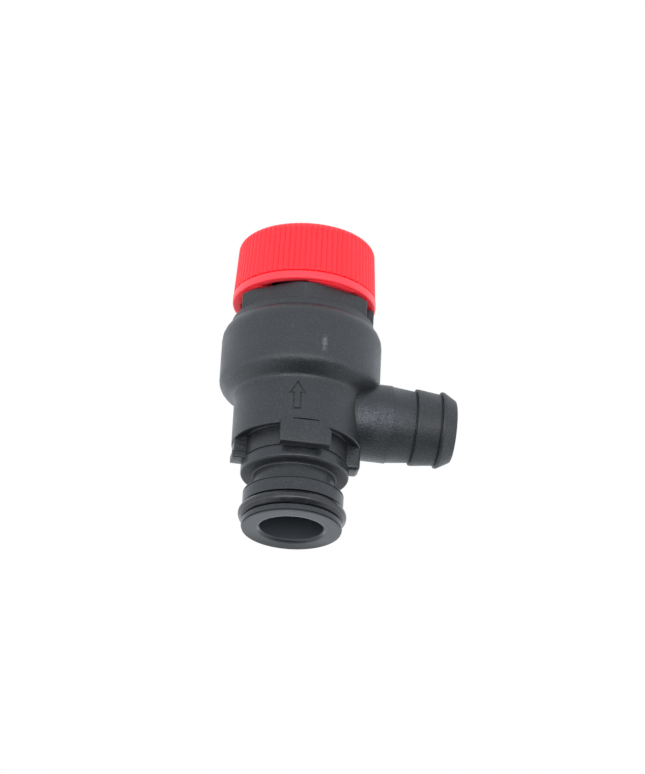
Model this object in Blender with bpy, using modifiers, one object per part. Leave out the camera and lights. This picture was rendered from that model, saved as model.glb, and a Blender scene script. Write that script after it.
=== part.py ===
"""Pressure relief valve with a push-in inlet spigot, a barbed side outlet and a lift-and-turn test knob.

Frame: the origin is the centre of the inlet end face. +Z runs up the valve's axis to the knob,
+X along the outlet, and the flat front key faces -Y. Lengths are in metres.
"""

import math

import bmesh
import bpy
from mathutils import Matrix, Vector

MM = 0.001
GAP = 0.3 * MM                      # clearance kept between touching pieces

ARC_STEP = 0.7 * MM                 # rounding that is worth one more segment on its arc
BIG_STEPS = 52                      # segments round the large turned pieces
SMALL_STEPS = 28                    # segments round the small turned pieces

# Inlet spigot, from the end face up
BORE_R = 6.3 * MM
SPIGOT_R = 10.05 * MM
LIP_TOP = 1.4 * MM
SEAL_GROOVE_TOP = 4.65 * MM
SEAL_GROOVE_R = 7.8 * MM
LAND_TOP = 7.5 * MM
CLIP_GROOVE_TOP = 11.2 * MM
CLIP_GROOVE_R = 8.2 * MM
FLANGE_R = 10.8 * MM
FLANGE_TOP = 13.5 * MM
NECK_R = 10.3 * MM

# Inlet O-ring
ORING_SECTION_R = 1.35 * MM
ORING_OUTER_R = 10.8 * MM
ORING_Z = 3.02 * MM

# Body above the spigot
SKIRT_R = 12.9 * MM
SKIRT_INNER_R = 12.25 * MM
SKIRT_BOTTOM = 17.6 * MM
POCKET_TOP = 18.9 * MM
WAIST_TOP = 28.2 * MM
WAIST_FILLET = 1.3 * MM
DRUM_R = 16.1 * MM
DRUM_TOP = 43.8 * MM
DRUM_UNDERSIDE = 29.6 * MM
DRUM_UNDER_ROUND = 2.7 * MM
SHOULDER_ROUND = 3.8 * MM
CHAMBER_R = 11.2 * MM
CHAMBER_FLOOR = 20.2 * MM
SEAT_TOP = 22.6 * MM
SEAT_R = 7.7 * MM
CLAMP_LEDGE = 31.4 * MM
BONNET_SOCKET_R = 13.3 * MM

# Keys under the skirt
KEY_BOTTOM = 13.1 * MM
SIDE_KEY_BOTTOM = 12.5 * MM
KEY_INNER = 11.2 * MM
FRONT_KEY_FACE = 13.6 * MM
FRONT_KEY_HALF_WIDTH = 5.1 * MM
FRONT_KEY_TOP = 18.15 * MM
FRONT_KEY_CHAMFER = 1.9 * MM
SIDE_KEY_INNER = 9.0 * MM            # inside the neck, which it grows out of
SIDE_KEY_FACE = 12.6 * MM
TAB_BLOCK_FACE = 12.65 * MM
TAB_FACE = 12.9 * MM
SIDE_KEY_HALF_WIDTH = 2.2 * MM
SIDE_KEY_OFFSET = 1.6 * MM
TAB_BOTTOM = 13.65 * MM
TAB_TOP = 15.2 * MM
TAB_HALF_WIDTH = 1.8 * MM

# Barbed outlet along +X
OUTLET_Z = 25.1 * MM
OUTLET_BORE_R = 4.8 * MM
OUTLET_ROOT_R = 7.8 * MM
OUTLET_PLAIN_END = 18.3 * MM
BARB_1 = 23.2 * MM
BARB_2 = 28.3 * MM
OUTLET_TIP = 31.4 * MM
BARB_CREST_R = 7.7 * MM
BARB_ROOT_R = 7.2 * MM
TIP_R = 6.2 * MM

# Bonnet
COLLAR_R = 14.3 * MM
HEX_FLATS = 25.0 * MM
HEX_BOTTOM = 44.1 * MM
HEX_TOP = 48.2 * MM
HEX_CORNER_ANGLE = math.radians(-97.0)
CROWN_R = 13.3 * MM                 # where the hexagon's rounded-off corners meet its top
CROWN_DROP = 0.8 * MM
CROWN_SLOPE = 1.7                   # radius gained per unit of height down the crown
BONNET_R = BONNET_SOCKET_R - GAP
BONNET_BOTTOM = 33.6 * MM
SPRING_CHAMBER_R = 8.0 * MM
TURRET_R = 9.2 * MM
TURRET_TOP = 57.6 * MM
PAWL_FACE = 13.7 * MM
PAWL_HALF_WIDTH = 4.2 * MM

# Lifting cams: lobes in the knob ride up ramps on the bonnet
CAM_COUNT = 4
LOBE_SPAN = math.radians(43.5)
LOBE_CENTRE = math.radians(-73.25)
CAM_END_GAP = math.radians(1.7)
CAM_INNER_R = 9.6 * MM
RAMP_OUTER_R = 11.5 * MM
LIFT = 1.6 * MM
LIFT_TURN = math.radians(44.0)

# Knob
KNOB_BOTTOM = 48.6 * MM
KNOB_TOP = 61.6 * MM
BAND_R = 14.4 * MM
BAND_TOP = 50.8 * MM
RIB_CREST_R = 14.3 * MM
RIB_DEPTH = 0.35 * MM
GRIP_TAPER = 0.06                  # radius lost per unit of height up the grip
TOP_ROUND = 1.4 * MM
RIB_COUNT = 78
KNOB_INNER_R = 12.7 * MM
KNOB_CEILING = 58.2 * MM
HUB_R = 3.4 * MM
HUB_BOTTOM = 56.6 * MM
RECESS_R = 5.4 * MM
RECESS_FLOOR = 58.7 * MM
CAP_R = RECESS_R - GAP
CAP_THICKNESS = 0.9 * MM

# Spindle and what rides on it
SPINDLE_R = 2.0 * MM
SPINDLE_BOTTOM = 24.9 * MM
SPINDLE_TOP = 56.3 * MM
SCREW_R = 1.2 * MM
SCREW_HOLE_R = SCREW_R + GAP
HOLE_R = SPINDLE_R + GAP
SEAL_BOTTOM = SEAT_TOP + GAP
SEAL_TOP = 24.3 * MM
SEAL_R = 8.2 * MM
HOLDER_R = 9.0 * MM
HOLDER_TOP = 30.9 * MM
DIAPHRAGM_THICKNESS = 0.8 * MM
DIAPHRAGM_R = BONNET_SOCKET_R - GAP
NUT_FLATS = 7.0 * MM

# Spring and its seats
PLATE_R = 7.4 * MM
PLATE_BOTTOM = 35.8 * MM
PLATE_TOP = 37.2 * MM
LOCATOR_R = 4.3 * MM
LOCATOR_HEIGHT = 1.4 * MM
ADJUSTER_BOTTOM = 51.5 * MM
ADJUSTER_TOP = 54.9 * MM
THRUST_WASHER = 0.5 * MM
WIRE_R = 0.85 * MM
COIL_R = 5.6 * MM
COIL_TURNS = 5.0
POINTS_PER_TURN = 12

# Colours: base colour, roughness, metallic
FINISHES = {
    "black_nylon": ((0.045, 0.05, 0.055), 0.55, 0.0),
    "red_plastic": ((0.80, 0.02, 0.03), 0.38, 0.0),
    "black_rubber": ((0.02, 0.02, 0.022), 0.4, 0.0),
    "brass": ((0.78, 0.57, 0.28), 0.3, 1.0),
    "zinc_steel": ((0.62, 0.62, 0.60), 0.32, 1.0),
    "spring_steel": ((0.45, 0.45, 0.46), 0.35, 1.0),
    "white_acetal": ((0.85, 0.85, 0.82), 0.45, 0.0),
}


def clear_scene():
    """Empty the file and make the two collections."""
    for old in list(bpy.data.objects):
        bpy.data.objects.remove(old, do_unlink=True)
    collections = []
    for name in ("relief_valve", "cutters"):
        collection = bpy.data.collections.new(name)
        bpy.context.scene.collection.children.link(collection)
        collections.append(collection)
    return collections


PARTS, CUTTERS = clear_scene()


def finish(name, kind):
    """A Principled material called after the piece."""
    colour, roughness, metallic = FINISHES[kind]
    material = bpy.data.materials.new(name)
    material.use_nodes = True
    shader = material.node_tree.nodes["Principled BSDF"]
    shader.inputs["Base Color"].default_value = (*colour, 1.0)
    shader.inputs["Roughness"].default_value = roughness
    shader.inputs["Metallic"].default_value = metallic
    material.diffuse_color = (*colour, 1.0)
    return material


def add_object(name, mesh, kind=None):
    """A piece when a finish is given, and otherwise a hidden cutter or building block."""
    obj = bpy.data.objects.new(name, mesh)
    if kind:
        PARTS.objects.link(obj)
        mesh.materials.append(finish(name, kind))
    else:
        CUTTERS.objects.link(obj)
        obj.hide_render = True
        obj.display_type = "WIRE"
    return obj


def rounded(corners):
    """Outline points from (radius, height, rounding) corners, each rounding worked out as an arc."""
    points = []
    for index, (r, z, rounding) in enumerate(corners):
        corner = Vector((r, z))
        if not rounding:
            points.append(corner)
            continue
        before = (Vector(corners[index - 1][:2]) - corner).normalized()
        after = (Vector(corners[(index + 1) % len(corners)][:2]) - corner).normalized()
        half_angle = before.angle(after) / 2
        centre = corner + (before + after).normalized() * rounding / math.sin(half_angle)
        start = corner + before * rounding / math.tan(half_angle) - centre
        end = corner + after * rounding / math.tan(half_angle) - centre
        turn = start.angle_signed(end)
        arc_steps = max(1, min(5, round(rounding / ARC_STEP)))
        for step in range(arc_steps + 1):
            rotation = Matrix.Rotation(-turn * step / arc_steps, 2)
            points.append(centre + rotation @ start)
    return points


def turned(name, corners, kind=None, steps=SMALL_STEPS, closed=True):
    """A turned piece: the outline runs down its outer side and is spun about Z."""
    points = rounded(corners)
    mesh = bpy.data.meshes.new(name)
    last = len(points) if closed else len(points) - 1
    edges = [(index, (index + 1) % len(points)) for index in range(last)]
    mesh.from_pydata([(p.x, 0.0, p.y) for p in points], edges, [])
    obj = add_object(name, mesh, kind)
    screw = obj.modifiers.new("turn", "SCREW")
    screw.axis = "Z"
    screw.steps = steps
    screw.render_steps = steps
    screw.use_merge_vertices = True
    screw.merge_threshold = 0.00001
    screw.use_smooth_shade = True
    return obj


def washer(name, inner, outer, bottom, top, kind, steps=SMALL_STEPS):
    """A flat ring."""
    corners = [(outer, top, 0), (outer, bottom, 0), (inner, bottom, 0), (inner, top, 0)]
    return turned(name, corners, kind, steps)


def block(name, low, high, kind=None):
    """A box between two corners, made from a unit cube."""
    low = Vector(low)
    high = Vector(high)
    size = Matrix.Diagonal(high - low).to_4x4()
    place = Matrix.Translation((low + high) / 2)
    mesh = bpy.data.meshes.new(name)
    bm = bmesh.new()
    bmesh.ops.create_cube(bm, size=1.0, matrix=place @ size)
    bm.to_mesh(mesh)
    bm.free()
    return add_object(name, mesh, kind)


def prism(name, radius, bottom, top, sides, kind=None, turn=0.0):
    """An upright prism or cylinder of the given number of sides, with a corner at the angle turn."""
    mesh = bpy.data.meshes.new(name)
    bm = bmesh.new()
    place = Matrix.Translation((0, 0, (bottom + top) / 2)) @ Matrix.Rotation(turn, 4, "Z")
    bmesh.ops.create_cone(bm, cap_ends=True, segments=sides, radius1=radius, radius2=radius,
                          depth=top - bottom, matrix=place)
    first_corner = max(bm.verts, key=lambda v: (v.co.xy.normalized().dot((math.cos(turn), math.sin(turn)))))
    error = turn - math.atan2(first_corner.co.y, first_corner.co.x)
    bmesh.ops.rotate(bm, verts=bm.verts, cent=(0, 0, 0), matrix=Matrix.Rotation(error, 3, "Z"))
    bm.to_mesh(mesh)
    bm.free()
    return add_object(name, mesh, kind)


def combine(target, other, operation):
    """Join or cut with a Boolean modifier."""
    boolean = target.modifiers.new(other.name, "BOOLEAN")
    boolean.operation = operation
    boolean.solver = "EXACT"
    boolean.object = other


def curve_to_mesh(curve_object, kind=None):
    """Replace a curve object by its evaluated mesh, with its caps welded on."""
    bpy.context.view_layer.update()
    evaluated = curve_object.evaluated_get(bpy.context.evaluated_depsgraph_get())
    mesh = bpy.data.meshes.new_from_object(evaluated)
    bm = bmesh.new()
    bm.from_mesh(mesh)
    bmesh.ops.remove_doubles(bm, verts=bm.verts, dist=0.000005)
    bmesh.ops.recalc_face_normals(bm, faces=bm.faces)
    bm.to_mesh(mesh)
    bm.free()
    name = curve_object.name
    place = curve_object.matrix_world.copy()
    bpy.data.objects.remove(curve_object, do_unlink=True)
    obj = add_object(name, mesh, kind)
    obj.name = name
    obj.matrix_world = place
    return obj


def plate(name, outline, thickness, place, kind=None):
    """A flat outline with thickness, centred on its plane and then placed."""
    curve = bpy.data.curves.new(name, "CURVE")
    curve.dimensions = "2D"
    curve.fill_mode = "BOTH"
    curve.extrude = thickness / 2
    spline = curve.splines.new("POLY")
    spline.points.add(len(outline) - 1)
    spline.use_cyclic_u = True
    for point, (x, y) in zip(spline.points, outline):
        point.co = (x, y, 0.0, 1.0)
    obj = bpy.data.objects.new(name, curve)
    bpy.context.scene.collection.objects.link(obj)
    obj.matrix_world = place
    return curve_to_mesh(obj, kind)


def ring_sector(name, inner, outer, bottom, top_start, top_end, start, span, steps=8):
    """A sector of a ring whose top runs as a helix from one height to another."""
    mesh = bpy.data.meshes.new(name)
    bm = bmesh.new()
    sections = []
    for step in range(steps + 1):
        angle = start + span * step / steps
        top = top_start + (top_end - top_start) * step / steps
        corners = ((inner, bottom), (outer, bottom), (outer, top), (inner, top))
        along = Vector((math.cos(angle), math.sin(angle), 0.0))
        sections.append([bm.verts.new(along * r + Vector((0, 0, z))) for r, z in corners])
    for one, two in zip(sections, sections[1:]):
        for side in range(4):
            after = (side + 1) % 4
            bm.faces.new((one[side], one[after], two[after], two[side]))
    bm.faces.new(sections[0])
    bm.faces.new(sections[-1])
    bmesh.ops.recalc_face_normals(bm, faces=bm.faces)
    bm.to_mesh(mesh)
    bm.free()
    return add_object(name, mesh)


def body_outside():
    """Drum, waist, skirt, neck and spigot as one solid of revolution."""
    return turned("valve_body", [
        (0, DRUM_TOP, 0),
        (DRUM_R - 0.1 * MM, DRUM_TOP, SHOULDER_ROUND),
        (DRUM_R, DRUM_UNDERSIDE, DRUM_UNDER_ROUND),
        (SKIRT_R, WAIST_TOP, WAIST_FILLET),
        (SKIRT_R, SKIRT_BOTTOM, 0.2 * MM),
        (SKIRT_INNER_R, SKIRT_BOTTOM, 0),
        (SKIRT_INNER_R, POCKET_TOP, 0),
        (NECK_R, POCKET_TOP, 0),
        (NECK_R, FLANGE_TOP, 0),
        (FLANGE_R, FLANGE_TOP, 0.2 * MM),
        (FLANGE_R, CLIP_GROOVE_TOP, 0.2 * MM),
        (CLIP_GROOVE_R, CLIP_GROOVE_TOP, 0),
        (CLIP_GROOVE_R, LAND_TOP, 0),
        (SPIGOT_R, LAND_TOP, 0.2 * MM),
        (SPIGOT_R, SEAL_GROOVE_TOP, 0.15 * MM),
        (SEAL_GROOVE_R, SEAL_GROOVE_TOP, 0),
        (SEAL_GROOVE_R, LIP_TOP, 0),
        (SPIGOT_R, LIP_TOP, 0.15 * MM),
        (SPIGOT_R, 0, 0.35 * MM),
        (0, 0, 0),
    ], "black_nylon", BIG_STEPS, closed=False)


def body_cavity():
    """Inlet bore, seat nozzle, outlet chamber and bonnet socket as one cutter."""
    chamfer = 0.45 * MM
    below = 2.0 * MM
    return turned("body_cavity", [
        (0, DRUM_TOP + below, 0),
        (BONNET_SOCKET_R, DRUM_TOP + below, 0),
        (BONNET_SOCKET_R, CLAMP_LEDGE, 0),
        (CHAMBER_R, CLAMP_LEDGE, 0),
        (CHAMBER_R, CHAMBER_FLOOR, 0.8 * MM),
        (SEAT_R, CHAMBER_FLOOR, 0.5 * MM),
        (SEAT_R, SEAT_TOP, 0),
        (BORE_R, SEAT_TOP, 0.3 * MM),
        (BORE_R, chamfer, 0),
        (BORE_R + chamfer, 0, 0),
        (BORE_R + chamfer, -below, 0),
        (0, -below, 0),
    ], steps=BIG_STEPS, closed=False)


def outlet_outside():
    """Hose barb, turned about Z and laid along +X."""
    crest_land = 0.5 * MM
    inside = BORE_R
    nozzle = turned("outlet_outside", [
        (0, OUTLET_TIP, 0),
        (TIP_R, OUTLET_TIP, 0.4 * MM),
        (BARB_CREST_R, BARB_2 + crest_land, 0),
        (BARB_CREST_R, BARB_2, 0),
        (BARB_ROOT_R, BARB_2, 0),
        (BARB_CREST_R, BARB_1, 0),
        (BARB_ROOT_R, BARB_1, 0),
        (OUTLET_ROOT_R, OUTLET_PLAIN_END, 0),
        (OUTLET_ROOT_R, inside, 0),
        (0, inside, 0),
    ], steps=BIG_STEPS, closed=False)
    nozzle.matrix_world = Matrix.Translation((0, 0, OUTLET_Z)) @ Matrix.Rotation(math.pi / 2, 4, "Y")
    return nozzle


def outlet_bore():
    """Straight drain bore from the chamber to the tip."""
    past = 2.0 * MM
    start = SEAT_R + 1.5 * MM
    bore = prism("outlet_bore", OUTLET_BORE_R, start, OUTLET_TIP + past, SMALL_STEPS)
    bore.matrix_world = Matrix.Translation((0, 0, OUTLET_Z)) @ Matrix.Rotation(math.pi / 2, 4, "Y")
    return bore


def flat_key(name, side):
    """Flat key hanging from the skirt, on the -Y or the +Y side, with one clipped top corner."""
    half = FRONT_KEY_HALF_WIDTH
    clip = FRONT_KEY_CHAMFER
    outline = [(-half, KEY_BOTTOM), (half, KEY_BOTTOM), (half, FRONT_KEY_TOP - clip),
               (half - clip, FRONT_KEY_TOP), (-half, FRONT_KEY_TOP)]
    upright = Matrix.Rotation(math.pi / 2, 4, "X")
    middle = (FRONT_KEY_FACE + KEY_INNER) / 2
    facing = Matrix.Rotation(0.0 if side < 0 else math.pi, 4, "Z")
    place = facing @ Matrix.Translation((0, -middle, 0)) @ upright
    return plate(name, outline, FRONT_KEY_FACE - KEY_INNER, place)


def side_key():
    """Rounded key on the outlet side."""
    middle = -SIDE_KEY_OFFSET
    key = block("side_key", (SIDE_KEY_INNER, middle - SIDE_KEY_HALF_WIDTH, SIDE_KEY_BOTTOM),
                (SIDE_KEY_FACE, middle + SIDE_KEY_HALF_WIDTH, POCKET_TOP + GAP))
    bevel = key.modifiers.new("soft_edges", "BEVEL")
    bevel.width = 0.6 * MM
    bevel.segments = 2
    return key


def valve_body():
    """One-piece moulded body."""
    body = body_outside()
    key_root = POCKET_TOP + GAP
    additions = [
        outlet_outside(),
        flat_key("front_key", -1),
        flat_key("back_key", 1),
        side_key(),
        block("tab_block", (-TAB_BLOCK_FACE, -TAB_HALF_WIDTH, TAB_BOTTOM),
              (-SIDE_KEY_INNER, TAB_HALF_WIDTH, key_root)),
        block("side_tab", (-TAB_FACE, -TAB_HALF_WIDTH, TAB_BOTTOM),
              (-SIDE_KEY_INNER, TAB_HALF_WIDTH, TAB_TOP)),
    ]
    for addition in additions:
        combine(body, addition, "UNION")
    combine(body, body_cavity(), "DIFFERENCE")
    combine(body, outlet_bore(), "DIFFERENCE")
    return body


def inlet_oring():
    """Seal in the groove nearest the end face."""
    bpy.ops.mesh.primitive_torus_add(
        major_segments=BIG_STEPS, minor_segments=10, location=(0, 0, ORING_Z),
        major_radius=ORING_OUTER_R - ORING_SECTION_R, minor_radius=ORING_SECTION_R)
    ring = bpy.context.object
    ring.name = "inlet_oring"
    for collection in list(ring.users_collection):
        collection.objects.unlink(ring)
    PARTS.objects.link(ring)
    ring.data.materials.append(finish("inlet_oring", "black_rubber"))
    ring.data.shade_smooth()
    return ring


def cam_lobe_start(index):
    """Angle at which a knob lobe begins, seen from above."""
    return LOBE_CENTRE - LOBE_SPAN / 2 + index * 2 * math.pi / CAM_COUNT


def bonnet():
    """Screwed bonnet: threaded barrel, collar, hexagon, turret and the fixed cam ramps."""
    under_hexagon = HEX_FLATS / 2 - 1.5 * MM
    shoulder_in = COLLAR_R - (DRUM_R - SHOULDER_ROUND)
    shoulder_z = DRUM_TOP - SHOULDER_ROUND + math.sqrt(SHOULDER_ROUND ** 2 - shoulder_in ** 2)
    turret = turned("bonnet", [
        (TURRET_R, TURRET_TOP, 0.3 * MM),
        (TURRET_R, HEX_TOP - GAP, 0),
        (under_hexagon, HEX_TOP - GAP, 0),
        (under_hexagon, HEX_BOTTOM + GAP, 0),
        (COLLAR_R, HEX_BOTTOM + GAP, 0.2 * MM),
        (COLLAR_R, shoulder_z + GAP, 0),
        (BONNET_R + 0.5 * MM, DRUM_TOP + GAP, 0),
        (BONNET_R, DRUM_TOP + GAP, 0),
        (BONNET_R, BONNET_BOTTOM, 0.3 * MM),
        (SPRING_CHAMBER_R, BONNET_BOTTOM, 0),
        (SPRING_CHAMBER_R, TURRET_TOP, 0),
    ], "black_nylon", BIG_STEPS)
    hexagon = prism("bonnet_hexagon", HEX_FLATS / math.sqrt(3), HEX_BOTTOM, HEX_TOP, 6,
                    turn=HEX_CORNER_ANGLE)
    crown_foot_r = CROWN_R + CROWN_SLOPE * CROWN_DROP
    crown = turned("hexagon_crown", [
        (0, HEX_TOP + GAP, 0),
        (CROWN_R - CROWN_SLOPE * GAP, HEX_TOP + GAP, 0),
        (crown_foot_r, HEX_TOP - CROWN_DROP, 0),
        (crown_foot_r, HEX_BOTTOM - MM, 0),
        (0, HEX_BOTTOM - MM, 0),
    ], steps=BIG_STEPS, closed=False)
    combine(hexagon, crown, "INTERSECT")
    hole = prism("hexagon_hole", SPRING_CHAMBER_R + 0.6 * MM, HEX_BOTTOM - MM, HEX_TOP + MM, BIG_STEPS)
    combine(hexagon, hole, "DIFFERENCE")
    combine(turret, hexagon, "UNION")
    pawl = block("lock_pawl", (under_hexagon, -PAWL_HALF_WIDTH, HEX_BOTTOM - 0.2 * MM),
                 (PAWL_FACE, PAWL_HALF_WIDTH, HEX_TOP - 0.2 * MM))
    combine(turret, pawl, "UNION")
    window = 2 * math.pi / CAM_COUNT - LOBE_SPAN
    ramp_span = window - 2 * CAM_END_GAP
    rise = LIFT * ramp_span / LIFT_TURN
    sunk = 0.5 * MM
    toe = 0.02 * MM
    for index in range(CAM_COUNT):
        start = cam_lobe_start(index) + LOBE_SPAN + CAM_END_GAP
        ramp = ring_sector(f"ramp_{index}", TURRET_R - sunk, RAMP_OUTER_R, HEX_TOP - sunk,
                           HEX_TOP + toe, HEX_TOP + rise, start, ramp_span)
        combine(turret, ramp, "UNION")
    return turret


def grip_radius(z):
    """Radius of the rib crests at a height on the knob, which narrows upwards."""
    return RIB_CREST_R - GRIP_TAPER * (z - BAND_TOP)


def grip_ring():
    """Ribbed sleeve of the knob, its outline a zigzag between rib crests and roots."""
    outline = []
    for index in range(2 * RIB_COUNT):
        angle = math.pi * index / RIB_COUNT
        radius = 1.0 if index % 2 == 0 else 1.0 - RIB_DEPTH / RIB_CREST_R
        outline.append((radius * math.cos(angle), radius * math.sin(angle)))
    bottom = BAND_TOP - 0.5 * MM
    top = KNOB_TOP - 0.8 * MM
    ring = plate("grip_ring", outline, top - bottom, Matrix())
    for vertex in ring.data.vertices:
        vertex.co.z += (bottom + top) / 2
        vertex.co.xy *= grip_radius(vertex.co.z)
    core = prism("grip_core", KNOB_INNER_R + 0.7 * MM, bottom - MM, top + MM, BIG_STEPS)
    combine(ring, core, "DIFFERENCE")
    return ring


def knob():
    """Test knob: skirt with a smooth band, ribbed grip, top, hub and cam lobes inside."""
    shell = turned("knob", [
        (RECESS_R, KNOB_TOP, 0),
        (grip_radius(KNOB_TOP) - RIB_DEPTH, KNOB_TOP, TOP_ROUND),
        (grip_radius(BAND_TOP) - RIB_DEPTH - 0.1 * MM, BAND_TOP, 0),
        (BAND_R, BAND_TOP, 0.3 * MM),
        (BAND_R, KNOB_BOTTOM + MM, 0),
        (BAND_R - 0.4 * MM, KNOB_BOTTOM, 0.2 * MM),
        (KNOB_INNER_R, KNOB_BOTTOM, 0),
        (KNOB_INNER_R, KNOB_CEILING, 0.5 * MM),
        (HUB_R, KNOB_CEILING, 0),
        (HUB_R, HUB_BOTTOM, 0),
        (SCREW_HOLE_R, HUB_BOTTOM, 0),
        (SCREW_HOLE_R, RECESS_FLOOR, 0),
        (RECESS_R, RECESS_FLOOR, 0),
    ], "red_plastic", BIG_STEPS)
    combine(shell, grip_ring(), "UNION")
    lobe_bottom = HEX_TOP + GAP
    lobe_top = KNOB_BOTTOM + 3.4 * MM
    for index in range(CAM_COUNT):
        lobe = ring_sector(f"lobe_{index}", CAM_INNER_R, KNOB_INNER_R + 0.6 * MM, lobe_bottom,
                           lobe_top, lobe_top, cam_lobe_start(index), LOBE_SPAN)
        combine(shell, lobe, "UNION")
    return shell


def knob_cap():
    """Blank disc that covers the knob's screw."""
    top = KNOB_TOP - 0.1 * MM
    return turned("knob_cap", [
        (0, top, 0),
        (CAP_R, top, 0.25 * MM),
        (CAP_R, top - CAP_THICKNESS, 0),
        (0, top - CAP_THICKNESS, 0),
    ], "red_plastic", closed=False)


def cross_screw(name, head_face, head_thickness, head_r, length, head_down=False):
    """Pan-head screw with a cross recess, its shank pointing down, or up when the head is down."""
    screw = turned(name, [
        (0, 0, 0),
        (head_r, 0, 0.35 * MM),
        (head_r, -head_thickness, 0),
        (SCREW_R, -head_thickness, 0),
        (SCREW_R, -head_thickness - length, 0.25 * MM),
        (0, -head_thickness - length, 0),
    ], "zinc_steel", closed=False)
    arm = 1.4 * MM
    slot = 0.25 * MM
    depth = 0.55 * MM
    for x, y in ((arm, slot), (slot, arm)):
        cutter = block(f"{name}_recess", (-x, -y, -depth), (x, y, MM))
        cutter.parent = screw
        combine(screw, cutter, "DIFFERENCE")
    screw.location = (0, 0, head_face)
    if head_down:
        screw.rotation_euler = (math.pi, 0, 0)
    return screw


def knob_fixings():
    """Screw and washer that hold the knob to the spindle."""
    washer_bottom = RECESS_FLOOR + GAP
    washer_top = washer_bottom + 0.35 * MM
    head = 0.7 * MM
    washer("knob_washer", SCREW_HOLE_R, 3.2 * MM, washer_bottom, washer_top, "zinc_steel")
    cross_screw("knob_screw", washer_top + GAP / 2 + head, head, head_r=2.4 * MM, length=7.0 * MM)


def spindle():
    """Brass spindle, bored at both ends for the screws."""
    bore_depth = 6.0 * MM
    seal_bore_depth = 3.0 * MM
    return turned("spindle", [
        (0, SPINDLE_TOP - bore_depth, 0),
        (SCREW_HOLE_R, SPINDLE_TOP - bore_depth, 0),
        (SCREW_HOLE_R, SPINDLE_TOP, 0),
        (SPINDLE_R, SPINDLE_TOP, 0.2 * MM),
        (SPINDLE_R, SPINDLE_BOTTOM, 0.2 * MM),
        (SCREW_HOLE_R, SPINDLE_BOTTOM, 0),
        (SCREW_HOLE_R, SPINDLE_BOTTOM + seal_bore_depth, 0),
        (0, SPINDLE_BOTTOM + seal_bore_depth, 0),
    ], "brass", closed=False)


def closing_parts():
    """Valve disc stack: holder, seat seal, seal plate and seal screw."""
    recess_top = SEAL_TOP + GAP
    flange_r = 7.6 * MM
    flange_bottom = HOLDER_TOP - 1.1 * MM
    stem_r = 4.6 * MM
    rim_bottom = SEAL_BOTTOM + 0.5 * MM
    disc_top = SEAL_TOP + 1.9 * MM
    turned("disc_holder", [
        (flange_r, HOLDER_TOP, 0.2 * MM),
        (flange_r, flange_bottom, 0),
        (stem_r, flange_bottom - 0.5 * MM, 0),
        (stem_r, disc_top + 0.4 * MM, 0),
        (HOLDER_R, disc_top, 0.3 * MM),
        (HOLDER_R, rim_bottom, 0),
        (SEAL_R + GAP, rim_bottom, 0),
        (SEAL_R + GAP, recess_top, 0),
        (HOLE_R, recess_top, 0),
        (HOLE_R, HOLDER_TOP, 0),
    ], "brass")
    washer("seat_seal", SCREW_HOLE_R, SEAL_R, SEAL_BOTTOM, SEAL_TOP, "black_rubber")
    plate_top = SEAL_BOTTOM - GAP
    plate_bottom = plate_top - 0.7 * MM
    washer("seal_plate", SCREW_HOLE_R, 5.2 * MM, plate_bottom, plate_top, "zinc_steel")
    head = 1.0 * MM
    cross_screw("seal_screw", plate_bottom - GAP - head, head, head_r=2.6 * MM, length=5.0 * MM,
                head_down=True)


def diaphragm_parts():
    """Diaphragm with its rolled convolution, clamp washer, nut and the slip ring under the bonnet."""
    low = HOLDER_TOP + GAP
    top = low + DIAPHRAGM_THICKNESS
    rim_low = CLAMP_LEDGE + GAP
    rim_top = rim_low + DIAPHRAGM_THICKNESS
    roll = 1.1 * MM
    roll_inner = 7.9 * MM
    roll_outer = 11.1 * MM
    side = 0.2 * MM
    slope = 0.7 * MM
    turned("diaphragm", [
        (DIAPHRAGM_R, rim_top, 0),
        (DIAPHRAGM_R, rim_low, 0),
        (roll_outer - side, rim_low, 0.3 * MM),
        (roll_outer - side - slope, rim_low + roll, 0.3 * MM),
        (roll_inner + side + slope, rim_low + roll, 0.3 * MM),
        (roll_inner + side, low, 0.3 * MM),
        (HOLE_R, low, 0),
        (HOLE_R, top, 0),
        (roll_inner - side, top, 0.3 * MM),
        (roll_inner - side + slope, rim_top + roll, 0.3 * MM),
        (roll_outer + side - slope, rim_top + roll, 0.3 * MM),
        (roll_outer + side, rim_top, 0.3 * MM),
    ], "black_rubber")
    washer("slip_ring", roll_outer + 2 * side, DIAPHRAGM_R, rim_top + GAP, BONNET_BOTTOM - GAP,
           "white_acetal")
    clamp_bottom = top + GAP
    clamp_top = clamp_bottom + 0.7 * MM
    washer("clamp_washer", HOLE_R, PLATE_R, clamp_bottom, clamp_top, "zinc_steel")
    nut_bottom = clamp_top + GAP
    nut_top = nut_bottom + 2.0 * MM
    nut = prism("clamp_nut", NUT_FLATS / math.sqrt(3), nut_bottom, nut_top, 6, "brass")
    hole = prism("clamp_nut_hole", HOLE_R, clamp_top, nut_top + MM, 24)
    combine(nut, hole, "DIFFERENCE")


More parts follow.
